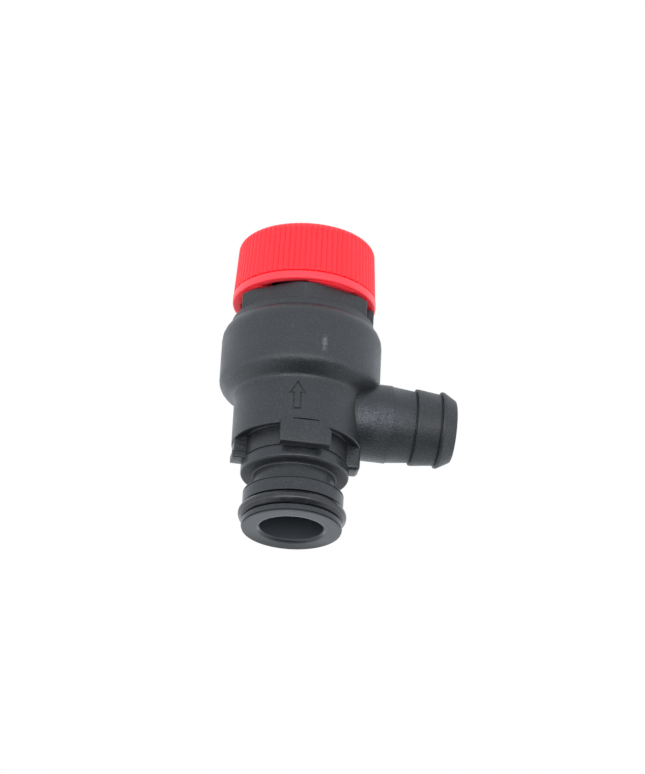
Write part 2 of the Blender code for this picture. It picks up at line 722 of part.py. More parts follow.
def spring_seats():
    """Lower plate on the spindle, thrust washer, and the threaded adjusting ring with its guide bush."""
    turned("lower_spring_plate", [
        (LOCATOR_R, PLATE_TOP + LOCATOR_HEIGHT, 0.3 * MM),
        (LOCATOR_R, PLATE_TOP, 0),
        (PLATE_R, PLATE_TOP, 0.2 * MM),
        (PLATE_R, PLATE_BOTTOM, 0.2 * MM),
        (HOLE_R, PLATE_BOTTOM, 0),
        (HOLE_R, PLATE_TOP + LOCATOR_HEIGHT, 0),
    ], "brass")
    bush_outer = 3.0 * MM
    bush_flange_r = 4.0 * MM
    bush_top = ADJUSTER_TOP + 0.8 * MM
    bush_bottom = ADJUSTER_BOTTOM - LOCATOR_HEIGHT
    hole = bush_outer + GAP
    ring = turned("adjusting_ring", [
        (SPRING_CHAMBER_R - GAP, ADJUSTER_TOP, 0.2 * MM),
        (SPRING_CHAMBER_R - GAP, ADJUSTER_BOTTOM, 0.2 * MM),
        (LOCATOR_R, ADJUSTER_BOTTOM, 0),
        (LOCATOR_R, bush_bottom, 0.3 * MM),
        (hole, bush_bottom, 0),
        (hole, ADJUSTER_TOP, 0),
    ], "brass")
    washer_top = ADJUSTER_BOTTOM - GAP
    washer("thrust_washer", LOCATOR_R + GAP, PLATE_R, washer_top - THRUST_WASHER, washer_top, "zinc_steel")
    slot = 0.9 * MM
    key_slot = block("spanner_slot", (-SPRING_CHAMBER_R, -slot, ADJUSTER_TOP - 1.3 * MM),
                     (SPRING_CHAMBER_R, slot, ADJUSTER_TOP + MM))
    combine(ring, key_slot, "DIFFERENCE")
    turned("spindle_bush", [
        (bush_flange_r, bush_top, 0),
        (bush_flange_r, ADJUSTER_TOP + GAP, 0),
        (bush_outer, ADJUSTER_TOP + GAP, 0),
        (bush_outer, bush_bottom, 0),
        (HOLE_R, bush_bottom, 0),
        (HOLE_R, bush_top, 0),
    ], "white_acetal")


def main_spring():
    """Compression spring between the lower plate and the adjusting ring, with closed end turns."""
    bottom = PLATE_TOP + GAP + WIRE_R
    top = ADJUSTER_BOTTOM - THRUST_WASHER - 2 * GAP - WIRE_R
    closed_rise = 2 * WIRE_R + 0.1 * MM
    curve = bpy.data.curves.new("main_spring", "CURVE")
    curve.dimensions = "3D"
    curve.bevel_depth = WIRE_R
    curve.bevel_resolution = 2
    curve.use_fill_caps = True
    spline = curve.splines.new("POLY")
    count = int(COIL_TURNS * POINTS_PER_TURN) + 1
    spline.points.add(count - 1)
    rise_by_turns = [0.0, closed_rise, top - bottom - closed_rise, top - bottom]
    turns_at = [0.0, 1.0, COIL_TURNS - 1.0, COIL_TURNS]
    for index, point in enumerate(spline.points):
        turn = index / POINTS_PER_TURN
        part = max(k for k in range(3) if turn >= turns_at[k] - 0.0001)
        share = (turn - turns_at[part]) / (turns_at[part + 1] - turns_at[part])
        rise = rise_by_turns[part] + share * (rise_by_turns[part + 1] - rise_by_turns[part])
        angle = 2 * math.pi * turn
        point.co = (COIL_R * math.cos(angle), COIL_R * math.sin(angle), bottom + rise, 1.0)
    obj = bpy.data.objects.new("main_spring", curve)
    bpy.context.scene.collection.objects.link(obj)
    return curve_to_mesh(obj, "spring_steel")


valve_body()
inlet_oring()
bonnet()
knob()
knob_cap()
knob_fixings()
spindle()
closing_parts()
diaphragm_parts()
spring_seats()
main_spring()
for piece in PARTS.objects:
    piece.data.set_sharp_from_angle(angle=math.radians(35))
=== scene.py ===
"""Looks of the pressure relief valve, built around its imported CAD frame.

The fine pieces repeat the frame's sizes, to 0.6 mm or less, and add the roundings, ribs and mould
marks that it leaves out. Sizes are named in millimetres and the meshes are built in metres. +Z runs
from the inlet end face up to the knob, +X along the outlet, and the front key faces -Y.
"""

import math

import bmesh
import bpy
from mathutils import Matrix, Vector


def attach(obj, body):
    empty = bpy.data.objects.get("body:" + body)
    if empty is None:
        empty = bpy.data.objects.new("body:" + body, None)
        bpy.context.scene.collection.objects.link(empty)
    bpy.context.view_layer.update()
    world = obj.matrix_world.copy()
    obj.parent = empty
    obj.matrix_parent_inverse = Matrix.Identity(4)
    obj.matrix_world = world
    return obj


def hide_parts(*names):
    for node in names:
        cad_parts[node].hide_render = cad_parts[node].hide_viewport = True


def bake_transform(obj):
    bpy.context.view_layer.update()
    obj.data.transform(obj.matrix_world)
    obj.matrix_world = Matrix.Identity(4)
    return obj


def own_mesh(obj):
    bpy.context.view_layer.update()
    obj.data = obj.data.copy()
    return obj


MM = 0.001
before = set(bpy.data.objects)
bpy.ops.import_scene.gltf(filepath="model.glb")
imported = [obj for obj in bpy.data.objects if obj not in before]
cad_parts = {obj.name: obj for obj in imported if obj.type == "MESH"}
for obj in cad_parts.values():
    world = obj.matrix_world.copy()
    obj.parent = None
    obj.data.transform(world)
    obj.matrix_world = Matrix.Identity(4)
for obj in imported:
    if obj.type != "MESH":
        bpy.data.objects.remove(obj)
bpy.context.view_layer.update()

# Inlet spigot, from the end face up
BORE_R = 6.3
SPIGOT_R = 10.05
LIP_TOP = 1.52
SEAL_GROOVE_TOP = 4.52
SEAL_GROOVE_R = 7.8
LAND_TOP = 7.5
CLIP_GROOVE_TOP = 11.2
CLIP_GROOVE_R = 8.2
FLANGE_R = 10.8
FLANGE_TOP = 13.5
NECK_R = 10.3
LINE_DEPTH = 0.18                   # fine grooves above the flange, on the land and at the lip
ORING_SECTION_R = 1.35
ORING_OUTER_R = 10.8
ORING_Z = 3.02

# Body above the spigot
SKIRT_R = 12.9
SKIRT_INNER_R = 12.25
SKIRT_BOTTOM = 17.6
POCKET_TOP = 18.4
WAIST_TOP = 28.2
WAIST_FILLET = 1.3
DRUM_R = 16.1
DRUM_TOP = 43.8
DRUM_UNDERSIDE = 30.1
DRUM_UNDER_ROUND = 2.7
SHOULDER_ROUND = 3.8
CHAMBER_R = 11.2
CHAMBER_FLOOR = 20.2
SEAT_TOP = 22.6
SEAT_R = 7.7
CLAMP_LEDGE = 31.4
BONNET_SOCKET_R = 13.3
BORE_CHAMFER = 0.5
CLEAR = 2.0                         # how far a cutter reaches past what it cuts

# Keys under the skirt
KEY_BOTTOM = 13.1
KEY_INNER = 11.2
FRONT_KEY_FACE = 13.6
FRONT_KEY_HALF_WIDTH = 5.1
FRONT_KEY_TOP = 18.15
FRONT_KEY_CHAMFER = 1.9
SIDE_KEY_INNER = 9.0                # inside the neck, which it grows out of
SIDE_KEY_FACE = 12.6
SIDE_KEY_BOTTOM = 12.9
SIDE_KEY_HALF_WIDTH = 2.2
SIDE_KEY_OFFSET = 1.6
TAB_BLOCK_FACE = 12.65
TAB_FACE = 12.9
TAB_BOTTOM = 13.65
TAB_TOP = 15.2
TAB_HALF_WIDTH = 1.8
SLOT_HALF_WIDTH = 2.65              # slot between the front key's top and the skirt
SLOT_HEIGHT = 0.45
SLOT_INNER = 12.3

# Barbed outlet along +X
OUTLET_Z = 25.1
OUTLET_BORE_R = 4.8
OUTLET_ROOT_R = 7.8
OUTLET_PLAIN_END = 18.3
BARB_1 = 23.2
BARB_2 = 28.3
OUTLET_TIP = 31.4
BARB_CREST_R = 7.7
BARB_ROOT_R = 7.2
BARB_LAND = 0.5                     # flat length of a barb's crest
BARB_UNDERCUT = 0.2
PLAIN_STEP = 0.13                   # step where the plain stretch ends
TIP_R = 6.2

# Bonnet
COLLAR_R = 14.3
HEX_FLATS = 25.0
HEX_BOTTOM = 44.1
HEX_TOP = 48.2
HEX_CORNER_ANGLE = math.radians(-97.0)
HEX_CORNER_ROUND = 0.45
CROWN_R = 13.3                      # where the hexagon's rounded-off corners meet its top
CROWN_DROP = 0.8
CROWN_SLOPE = 1.7                   # radius gained per unit of height down the crown
BONNET_R = 13.0
BONNET_BOTTOM = 33.6
SPRING_CHAMBER_R = 8.0
TURRET_R = 9.2
TURRET_TOP = 57.6
PAWL_FACE = 13.7
PAWL_HALF_WIDTH = 4.2
FLARE = 0.12                        # how much the collar widens towards the drum's shoulder
FLARE_SINK = 0.4                    # and how far it reaches below the shoulder's surface

# Lifting cams
CAM_COUNT = 4
LOBE_SPAN = math.radians(43.5)
LOBE_CENTRE = math.radians(-73.25)
CAM_END_GAP = math.radians(1.7)
CAM_INNER_R = 9.6
RAMP_OUTER_R = 11.5
LIFT = 1.6
LIFT_TURN = math.radians(44.0)

# Knob
KNOB_BOTTOM = 48.6
KNOB_TOP = 61.6
BAND_R = 14.4
BAND_TOP = 50.2
RIB_CREST_R = 14.3
RIB_DEPTH = 0.32
RIB_COUNT = 78
RIB_SHARPNESS = 1.3                 # above 1 the crests are broader than the grooves
STEPS_PER_RIB = 8
GRIP_TAPER = 0.06
TOP_ROUND = 1.5
KNOB_INNER_R = 12.7
KNOB_CEILING = 58.2
HUB_R = 3.4
HUB_BOTTOM = 56.6
SCREW_HOLE_R = 1.5
RECESS_R = 5.4
RECESS_FLOOR = 58.7
CAP_R = 5.1
CAP_THICKNESS = 0.9
CAP_DISH = 0.35
LOBE_BOTTOM = 48.5
LOBE_TOP = 52.0                     # inside the knob's wall

# Mesh fineness
ROUND_STEPS = 192                   # segments round a fine turned piece
BORE_STEPS = 96                     # and round a narrow hole
ORING_SIDES = 48
LONGEST = 0.7                       # longest straight stretch of an outline before it is divided
ARC_ANGLE = math.radians(15)        # turn of one segment of a rounding
SHARP = math.radians(32)
TINY = 0.000001
UPRIGHT = Matrix.Rotation(math.pi / 2, 4, "X")

# Nylon
NYLON_DARK = (0.011, 0.012, 0.014, 1.0)
NYLON_LIGHT = (0.014, 0.016, 0.018, 1.0)
# colour the drum is painted towards: paler than the waist, which keeps the darker colour as painted
# shade under the drum
NYLON_ABOVE_WAIST_SHADE = (0.030, 0.032, 0.035, 1.0)
NYLON_SPECKLE = (0.05, 0.053, 0.057, 1.0)
# painted light: paler colour for the inlet bore's wall, standing in for light inside the bore
NYLON_BORE_PAINTED_LIGHT = (0.040, 0.044, 0.049, 1.0)
NYLON_RUBBED = (0.12, 0.13, 0.135, 1.0)
# painted glints: bluish-white specks standing in for the highlight's sparkle on the outlet
NYLON_PAINTED_GLINT = (0.085, 0.09, 0.112, 1.0)
GRAIN_SIZE = 0.30
GRAIN_DEPTH = 0.09
CELL_SIZE = 0.42
MOTTLE_SIZE = 5.0
FINE_SHARE = 0.85                   # what the fine grain and the cells add to the relief
CELL_SHARE = 0.35
SPIGOT_SMOOTH = (12.0, 14.5)        # heights over which the smooth spigot turns into grain
GRAIN_ON_SPIGOT = 0.12              # the relief's strength there, 1 on the drum
OUTLET_GRAIN_X = 14.5               # the outlet's stronger grain starts here
GRAIN_ON_OUTLET = 1.9
GRAIN_PAST_PLAIN = 0.7              # share that is left past the plain stretch, and past a barb
GRAIN_PAST_BARB = 0.6
WAIST_SHADE_Z = (25.0, 31.0)            # heights over which the drum is painted paler than the waist, the waist left in painted shade under the drum
ABOVE_WAIST_SHADE_SHARE = 0.2
RUB_X = 2.4
RUB_Z = 34.0
RUB_HALF_WIDTH = 0.85
RUB_HALF_HEIGHT = 2.3
# size and place of the painted glints on the outlet's front
GLINT_SIZE = 0.27
GLINT_START = 10.4
GLINT_Z = OUTLET_Z - 1.7
GLINT_HALF_HEIGHT = 3.6

# Other finishes
RED_DARK = (0.93, 0.012, 0.022, 1.0)
RED_LIGHT = (1.0, 0.020, 0.032, 1.0)
# painted sheen: the smooth band's paler, pinker red stands in for its glossier highlight
RED_BAND_PAINTED_SHEEN = (1.0, 0.042, 0.06, 1.0)
RUBBER_CLEAN = (0.014, 0.014, 0.016, 1.0)
RUBBER_DUSTY = (0.024, 0.025, 0.027, 1.0)
ACETAL_DARK = (0.80, 0.80, 0.75, 1.0)
ACETAL_LIGHT = (0.86, 0.86, 0.82, 1.0)


# ---------------------------------------------------------------- mesh building

def rounded(corners, closed=True):
    """Outline points from (radius, height, rounding) corners, the roundings worked out as arcs."""
    points = []
    for index, (r, z, rounding) in enumerate(corners):
        corner = Vector((r, z))
        if not rounding:
            points.append(corner)
            continue
        before = (Vector(corners[index - 1][:2]) - corner).normalized()
        after = (Vector(corners[(index + 1) % len(corners)][:2]) - corner).normalized()
        half_angle = before.angle(after) / 2
        centre = corner + (before + after).normalized() * rounding / math.sin(half_angle)
        start = corner + before * rounding / math.tan(half_angle) - centre
        end = corner + after * rounding / math.tan(half_angle) - centre
        turn = start.angle_signed(end)
        arc_steps = max(2, math.ceil(abs(turn) / ARC_ANGLE))
        for step in range(arc_steps + 1):
            points.append(centre + Matrix.Rotation(-turn * step / arc_steps, 2) @ start)
    divided = []
    for index, point in enumerate(points):
        divided.append(point)
        if not closed and index == len(points) - 1:
            break
        ahead = points[(index + 1) % len(points)]
        pieces = math.ceil((ahead - point).length / LONGEST)
        divided += [point.lerp(ahead, k / pieces) for k in range(1, pieces)]
    return divided


def add_object(name, mesh):
    """Link a mesh to the scene as an object, its round faces smooth."""
    mesh.shade_smooth()
    mesh.set_sharp_from_angle(angle=SHARP)
    obj = bpy.data.objects.new(name, mesh)
    bpy.context.scene.collection.objects.link(obj)
    return obj


def from_bmesh(name, bm):
    """Turn a bmesh in millimetres into an object in metres, its faces outwards."""
    bmesh.ops.recalc_face_normals(bm, faces=bm.faces)
    bmesh.ops.scale(bm, vec=(MM, MM, MM), verts=bm.verts)
    mesh = bpy.data.meshes.new(name)
    bm.to_mesh(mesh)
    bm.free()
    return add_object(name, mesh)


def revolve(name, corners, steps=ROUND_STEPS, closed=True, shape=None):
    """Outline turned about Z. shape(r, z, angle) may vary the radius round the piece."""
    bm = bmesh.new()
    rings = []
    for r, z in rounded(corners, closed):
        if r < TINY:
            rings.append([bm.verts.new((0, 0, z))] * steps)
            continue
        ring = []
        for step in range(steps):
            angle = 2 * math.pi * step / steps
            radius = shape(r, z, angle) if shape else r
            ring.append(bm.verts.new((radius * math.cos(angle), radius * math.sin(angle), z)))
        rings.append(ring)
    pairs = list(zip(rings, rings[1:]))
    if closed:
        pairs.append((rings[-1], rings[0]))
    for one, two in pairs:
        for step in range(steps):
            after = (step + 1) % steps
            corners_of_face = dict.fromkeys((one[step], one[after], two[after], two[step]))
            bm.faces.new(corners_of_face)
    return from_bmesh(name, bm)


def slab(name, outline, low, high, place=None, bevel=0.0, segments=3):
    """Flat outline in X and Y with thickness from low to high, its edges rounded, then placed."""
    bm = bmesh.new()
    face = bm.faces.new([bm.verts.new((x, y, low)) for x, y in outline])
    grown = bmesh.ops.extrude_face_region(bm, geom=[face])
    moved = [item for item in grown["geom"] if isinstance(item, bmesh.types.BMVert)]
    bmesh.ops.translate(bm, vec=(0, 0, high - low), verts=moved)
    if bevel:
        flat_ends = [edge for edge in bm.edges if edge.calc_face_angle(0) > SHARP]
        bmesh.ops.bevel(bm, geom=flat_ends, offset=bevel, offset_type="OFFSET", segments=segments,
                        profile=0.5, affect="EDGES", clamp_overlap=True)
    if place:
        bmesh.ops.transform(bm, matrix=place, verts=bm.verts)
    return from_bmesh(name, bm)


def box(name, low, high, bevel=0.0, segments=3):
    """A box between two corners with rounded edges."""
    outline = [(low[0], low[1]), (high[0], low[1]), (high[0], high[1]), (low[0], high[1])]
    return slab(name, outline, low[2], high[2], bevel=bevel, segments=segments)


def ring_sector(name, inner, outer, bottom, tops, start, span, steps=24):
    """A sector of a ring whose top runs as a helix between two heights."""
    bm = bmesh.new()
    sections = []
    for step in range(steps + 1):
        angle = start + span * step / steps
        top = tops[0] + (tops[1] - tops[0]) * step / steps
        along = Vector((math.cos(angle), math.sin(angle), 0.0))
        corners = ((inner, bottom), (outer, bottom), (outer, top), (inner, top))
        sections.append([bm.verts.new(along * r + Vector((0, 0, z))) for r, z in corners])
    for one, two in zip(sections, sections[1:]):
        for side in range(4):
            after = (side + 1) % 4
            bm.faces.new((one[side], one[after], two[after], two[side]))
    bm.faces.new(sections[0])
    bm.faces.new(sections[-1])
    return from_bmesh(name, bm)


def combine(target, tool, operation):
    """Join or cut, leaving plain mesh data behind."""
    boolean = target.modifiers.new("combine", "BOOLEAN")
    boolean.operation = operation
    boolean.solver = "EXACT"
    boolean.object = tool
    bpy.context.view_layer.update()
    evaluated = target.evaluated_get(bpy.context.evaluated_depsgraph_get())
    mesh = bpy.data.meshes.new_from_object(evaluated)
    target.modifiers.clear()
    target.data = mesh
    bpy.data.objects.remove(tool, do_unlink=True)
    mesh.shade_smooth()
    mesh.set_sharp_from_angle(angle=SHARP)


def keep(piece, body, node, material):
    """Dress a piece and put it in the place of its CAD node."""
    piece.data.materials.clear()
    piece.data.materials.append(material)
    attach(piece, body)
    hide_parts(node)
    return piece


def springy_copy(node):
    """Copy of a dressed CAD solid, linked in its place while the CAD node is hidden."""
    piece = bpy.data.objects.new(node + "_springy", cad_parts[node].data.copy())
    bpy.context.scene.collection.objects.link(piece)
    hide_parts(node)
    return piece


# ---------------------------------------------------------------- materials

def add_node(material, kind, inputs=None, **settings):
    """Add a shader node, with values or links for its inputs."""
    node = material.node_tree.nodes.new(kind)
    for key, value in settings.items():
        setattr(node, key, value)
    for key, value in (inputs or {}).items():
        if isinstance(value, bpy.types.NodeSocket):
            material.node_tree.links.new(value, node.inputs[key])
        else:
            node.inputs[key].default_value = value
    return node


def link(material, output, socket):
    """Join an output socket to an input socket."""
    material.node_tree.links.new(output, socket)


def principled(name, colour, roughness, metallic=0.0):
    """A material and its Principled shader; constant values sit on the shader's own sockets."""
    material = bpy.data.materials.new(name)
    material.use_nodes = True
    shader = material.node_tree.nodes["Principled BSDF"]
    shader.inputs["Base Color"].default_value = (*colour, 1.0)
    shader.inputs["Roughness"].default_value = roughness
    shader.inputs["Metallic"].default_value = metallic
    return material, shader


def math_node(material, operation, first, second):
    """One arithmetic step, returned as its output socket."""
    node = add_node(material, "ShaderNodeMath", {0: first, 1: second}, operation=operation)
    return node.outputs[0]


def product(material, first, *others):
    """Several values multiplied together."""
    for other in others:
        first = math_node(material, "MULTIPLY", first, other)
    return first


def distance_from(material, value, level):
    """How far a value lies from a level, on either side of it."""
    return math_node(material, "ABSOLUTE", math_node(material, "SUBTRACT", value, level), 0.0)


def map_range(material, value, low, high, to_low, to_high):
    """Value carried from one range to another, smoothly and clamped."""
    node = add_node(material, "ShaderNodeMapRange", {
        "Value": value, "From Min": low, "From Max": high, "To Min": to_low, "To Max": to_high,
    }, interpolation_type="SMOOTHSTEP")
    return node.outputs["Result"]


def ramp(material, place, low, high, to_low, to_high):
    """Smooth change from one value to another, between two places in millimetres."""
    return map_range(material, place, low * MM, high * MM, to_low, to_high)


def change_at(material, place, where, before, after, half_width=0.1):
    """Quick change from one value to another at a place in millimetres."""
    return ramp(material, place, where - half_width, where + half_width, before, after)


def noise(material, coords, size, detail=2.0, roughness=0.5):
    """Noise whose features are about size millimetres across, as a value from 0 to 1."""
    node = add_node(material, "ShaderNodeTexNoise", {
        "Vector": coords, "Scale": 1.0 / (size * MM), "Detail": detail, "Roughness": roughness,
    })
    return node.outputs["Fac"]


def mix_colours(material, share, one, two):
    """Blend of two colours; 6, 7 and 2 are the mix node's colour sockets."""
    node = add_node(material, "ShaderNodeMix", {"Factor": share, 6: one, 7: two}, data_type="RGBA")
    return node.outputs[2]


def bump(material, shader, height, depth, strength=1.0):
    """Send a height from 0 to 1 to the shader as relief of the given depth in millimetres."""
    node = add_node(material, "ShaderNodeBump", {
        "Height": height, "Distance": depth * MM, "Strength": strength,
    })
    link(material, node.outputs["Normal"], shader.inputs["Normal"])


def object_coords(material):
    """Position in the piece, in metres, and its X, Y and Z."""
    coords = add_node(material, "ShaderNodeTexCoord").outputs["Object"]
    split = add_node(material, "ShaderNodeSeparateXYZ", {"Vector": coords})
    return coords, split.outputs["X"], split.outputs["Y"], split.outputs["Z"]


def axis_distance(material, x, y):
    """Distance from the valve's axis, in metres."""
    flat = add_node(material, "ShaderNodeCombineXYZ", {"X": x, "Y": y})
    return add_node(material, "ShaderNodeVectorMath", {0: flat.outputs["Vector"]},
                    operation="LENGTH").outputs["Value"]


def rub_mask(material, coords, x, y, z):
    """Small rub mark on the drum, a little to the outlet's side of the front key."""
    off_x = distance_from(material, x, RUB_X * MM)
    off_z = distance_from(material, z, RUB_Z * MM)
    across = ramp(material, off_x, 0.0, RUB_HALF_WIDTH, 1.0, 0.0)
    along = ramp(material, off_z, 0.4, RUB_HALF_HEIGHT, 1.0, 0.0)
    front = ramp(material, y, -14.5, -12.0, 1.0, 0.0)
    patches = map_range(material, noise(material, coords, 0.8, 2.0), 0.3, 0.65, 0.15, 1.0)
    return product(material, across, along, patches, front)


def painted_glint_mask(material, coords, x, y, z):
    """Painted glints: pale bluish specks painted on the front of the outlet where the lights'
    highlight falls, strongest on its plain stretch.
    """
    along = ramp(material, x, GLINT_START, GLINT_START + 1.0, 0.0, 1.0)
    past_plain = change_at(material, x, OUTLET_PLAIN_END, 1.0, 0.3)
    short_of_barb = ramp(material, x, BARB_1 - 1.5, BARB_1, 1.0, 0.0)
    off_z = distance_from(material, z, GLINT_Z * MM)
    across = ramp(material, off_z, 0.6, GLINT_HALF_HEIGHT, 1.0, 0.0)
    front = ramp(material, y, -5.0, -3.5, 1.0, 0.0)
    speck = noise(material, coords, GLINT_SIZE, 3.0, 0.6)
    glint_specks = map_range(material, speck, 0.42, 0.70, 0.0, 1.0)
    return product(material, along, past_plain, across, front, glint_specks, short_of_barb)


def body_marks(material, coords, colour, rough, x, y, z):
    """Colour and roughness that only the body has: a bore painted paler as painted light inside it,
    duller faces, a rub mark and painted glints.
    """
    from_axis = axis_distance(material, x, y)
    # painted light: the bore's wall painted paler
    bore_painted_light = ramp(material, from_axis, BORE_R + 0.02, BORE_R + 0.08, 1.0, 0.0)
    colour = mix_colours(material, bore_painted_light, colour, NYLON_BORE_PAINTED_LIGHT)
    colour = mix_colours(material, rub_mask(material, coords, x, y, z), colour, NYLON_RUBBED)
    # painted glints where the highlight falls on the outlet's front
    colour = mix_colours(material, painted_glint_mask(material, coords, x, y, z), colour, NYLON_PAINTED_GLINT)
    at_end_face = ramp(material, z, 0.1, 0.4, 1.0, 0.0)
    far_half = ramp(material, y, 2.0, 9.0, 0.0, 0.35)
    off_flange = distance_from(material, z, CLIP_GROOVE_TOP * MM)
    under_flange = ramp(material, off_flange, 0.1, 0.5, 0.3, 0.0)
    rough = math_node(material, "ADD", rough, product(material, at_end_face, far_half))
    return colour, math_node(material, "ADD", rough, under_flange)


def nylon(name, is_body=False):
    """Black glass-filled nylon: spark-eroded grain, fainter on the spigot and along the barbs."""
    material, shader = principled(name, (0.019, 0.022, 0.026), 0.45)
    coords, x, y, z = object_coords(material)
    fine = noise(material, coords, GRAIN_SIZE, 3.0, 0.6)
    broad = noise(material, coords, MOTTLE_SIZE, 3.0)
    cells = add_node(material, "ShaderNodeTexVoronoi", {
        "Vector": coords, "Scale": 1.0 / (CELL_SIZE * MM),
    }, feature="SMOOTH_F1")
    grain = math_node(material, "ADD", product(material, fine, FINE_SHARE),
                      product(material, cells.outputs["Distance"], CELL_SHARE))
    amount = product(
        material,
        ramp(material, z, *SPIGOT_SMOOTH, GRAIN_ON_SPIGOT, 1.0),
        change_at(material, x, OUTLET_GRAIN_X, 1.0, GRAIN_ON_OUTLET, half_width=0.5),
        change_at(material, x, OUTLET_PLAIN_END, 1.0, GRAIN_PAST_PLAIN),
        change_at(material, x, BARB_1, 1.0, GRAIN_PAST_BARB))
    # painted shade: the waist under the drum's overhang stays darker, the drum is painted paler,
    # and the hexagon only a little
    above_waist_shade = product(
        material,
        ramp(material, z, *WAIST_SHADE_Z, 0.0, ABOVE_WAIST_SHADE_SHARE),
        ramp(material, z, HEX_BOTTOM - 0.5, HEX_BOTTOM, 1.0, 0.2))
    speckle = map_range(material, fine, 0.50, 0.72, 0.0, 0.65)
    colour = mix_colours(material, broad, NYLON_DARK, NYLON_LIGHT)
    colour = mix_colours(material, above_waist_shade, colour, NYLON_ABOVE_WAIST_SHADE)
    colour = mix_colours(material, speckle, colour, NYLON_SPECKLE)
    rough = product(
        material,
        map_range(material, broad, 0.3, 0.7, 0.33, 0.42),
        ramp(material, z, *SPIGOT_SMOOTH, 0.8, 1.0),
        ramp(material, x, OUTLET_PLAIN_END, BARB_1, 1.0, 1.3))
    if is_body:
        colour, rough = body_marks(material, coords, colour, rough, x, y, z)
    link(material, colour, shader.inputs["Base Color"])
    link(material, rough, shader.inputs["Roughness"])
    bump(material, shader, grain, GRAIN_DEPTH, amount)
    shader.inputs["Specular IOR Level"].default_value = 0.58
    return material


def red_plastic(name, gloss, scatter):
    """Bright red knob plastic with a light moulded texture, the smooth band painted paler as
    painted sheen.
    """
    material, shader = principled(name, (0.95, 0.016, 0.026), 0.38)
    coords, _, _, z = object_coords(material)
    broad = noise(material, coords, 4.0, 2.0)
    fine = noise(material, coords, 0.18, 2.0)
    colour = mix_colours(material, broad, RED_DARK, RED_LIGHT)
    # painted sheen: the band below BAND_TOP painted paler
    colour = mix_colours(material, change_at(material, z, BAND_TOP, 1.0, 0.0), colour, RED_BAND_PAINTED_SHEEN)
    link(material, colour, shader.inputs["Base Color"])
    link(material, map_range(material, broad, 0.3, 0.7, 0.30, 0.38), shader.inputs["Roughness"])
    bump(material, shader, fine, 0.012)
    shader.inputs["Subsurface Weight"].default_value = scatter
    shader.inputs["Subsurface Radius"].default_value = (1.0, 0.05, 0.05)
    shader.inputs["Subsurface Scale"].default_value = 2.5 * MM
    shader.inputs["Specular IOR Level"].default_value = gloss
    return material


def rubber(name, roughness):
    """Black rubber with a little dust and a fine surface."""
    material, shader = principled(name, (0.018, 0.018, 0.020), roughness)
    coords, _, _, _ = object_coords(material)
    dust = map_range(material, noise(material, coords, 2.0, 3.0), 0.4, 0.8, 0.0, 1.0)
    colour = mix_colours(material, dust, RUBBER_CLEAN, RUBBER_DUSTY)
    link(material, colour, shader.inputs["Base Color"])
    link(material, map_range(material, dust, 0.0, 1.0, roughness - 0.03, roughness + 0.08),
         shader.inputs["Roughness"])
    bump(material, shader, noise(material, coords, 0.15, 2.0), 0.006)
    return material


def turned_metal(name, colour, worn, roughness):
    """Metal with fine rings about the valve's axis, as a lathe leaves them, and slight staining."""
    material, shader = principled(name, colour, roughness, 1.0)
    coords, x, y, z = object_coords(material)
    rings = add_node(material, "ShaderNodeCombineXYZ", {"X": axis_distance(material, x, y), "Z": z})
    lines = noise(material, rings.outputs["Vector"], 0.09, 2.0)
    stain = noise(material, coords, 2.0, 4.0)
    shade = mix_colours(material, stain, (*colour, 1), (*worn, 1))
    link(material, shade, shader.inputs["Base Color"])
    link(material, map_range(material, stain, 0.3, 0.7, roughness - 0.06, roughness + 0.1),
         shader.inputs["Roughness"])
    bump(material, shader, lines, 0.01)
    return material


def acetal():
    """White acetal with faint moulded mottling."""
    material, shader = principled("white_acetal", (0.82, 0.82, 0.78), 0.42)
    coords, _, _, _ = object_coords(material)
    broad = noise(material, coords, 2.5, 3.0)
    link(material, mix_colours(material, broad, ACETAL_DARK, ACETAL_LIGHT),
         shader.inputs["Base Color"])
    bump(material, shader, noise(material, coords, 0.2, 2.0), 0.01)
    return material


# ---------------------------------------------------------------- fine pieces

def body_outside():
    """Drum, waist, skirt, neck and spigot."""
    return revolve("body", [
        (0, DRUM_TOP, 0),
        (DRUM_R - 0.1, DRUM_TOP, SHOULDER_ROUND),
        (DRUM_R, DRUM_UNDERSIDE, DRUM_UNDER_ROUND),
        (SKIRT_R, WAIST_TOP, WAIST_FILLET),
        (SKIRT_R, SKIRT_BOTTOM, 0.2),
        (SKIRT_INNER_R, SKIRT_BOTTOM, 0.15),
        (SKIRT_INNER_R, POCKET_TOP, 0.3),
        (NECK_R, POCKET_TOP, 0.3),
        (NECK_R, FLANGE_TOP + 0.75, 0.1),
        (NECK_R - 1.5 * LINE_DEPTH, FLANGE_TOP + 0.6, 0),
        (NECK_R - 1.5 * LINE_DEPTH, FLANGE_TOP, 0),
        (FLANGE_R, FLANGE_TOP, 0.15),
        (FLANGE_R, CLIP_GROOVE_TOP, 0.6),
        (CLIP_GROOVE_R, CLIP_GROOVE_TOP, 0.4),
        (CLIP_GROOVE_R, LAND_TOP, 0.2),
        (SPIGOT_R, LAND_TOP, 0.12),
        (SPIGOT_R, LAND_TOP - 0.25, 0.05),
        (SPIGOT_R - LINE_DEPTH, LAND_TOP - 0.3, 0),
        (SPIGOT_R - LINE_DEPTH, LAND_TOP - 0.45, 0),
        (SPIGOT_R, LAND_TOP - 0.5, 0.05),
        (SPIGOT_R, SEAL_GROOVE_TOP, 0.15),
        (SEAL_GROOVE_R, SEAL_GROOVE_TOP, 0.2),
        (SEAL_GROOVE_R, LIP_TOP, 0.2),
        (SPIGOT_R, LIP_TOP, 0.3),
        (SPIGOT_R, 0.35, 0.05),
        (SPIGOT_R - LINE_DEPTH, 0.3, 0),
        (SPIGOT_R - LINE_DEPTH, 0.15, 0),
        (SPIGOT_R - 0.1, 0.0, 0.05),
        (0, 0, 0),
    ], closed=False)


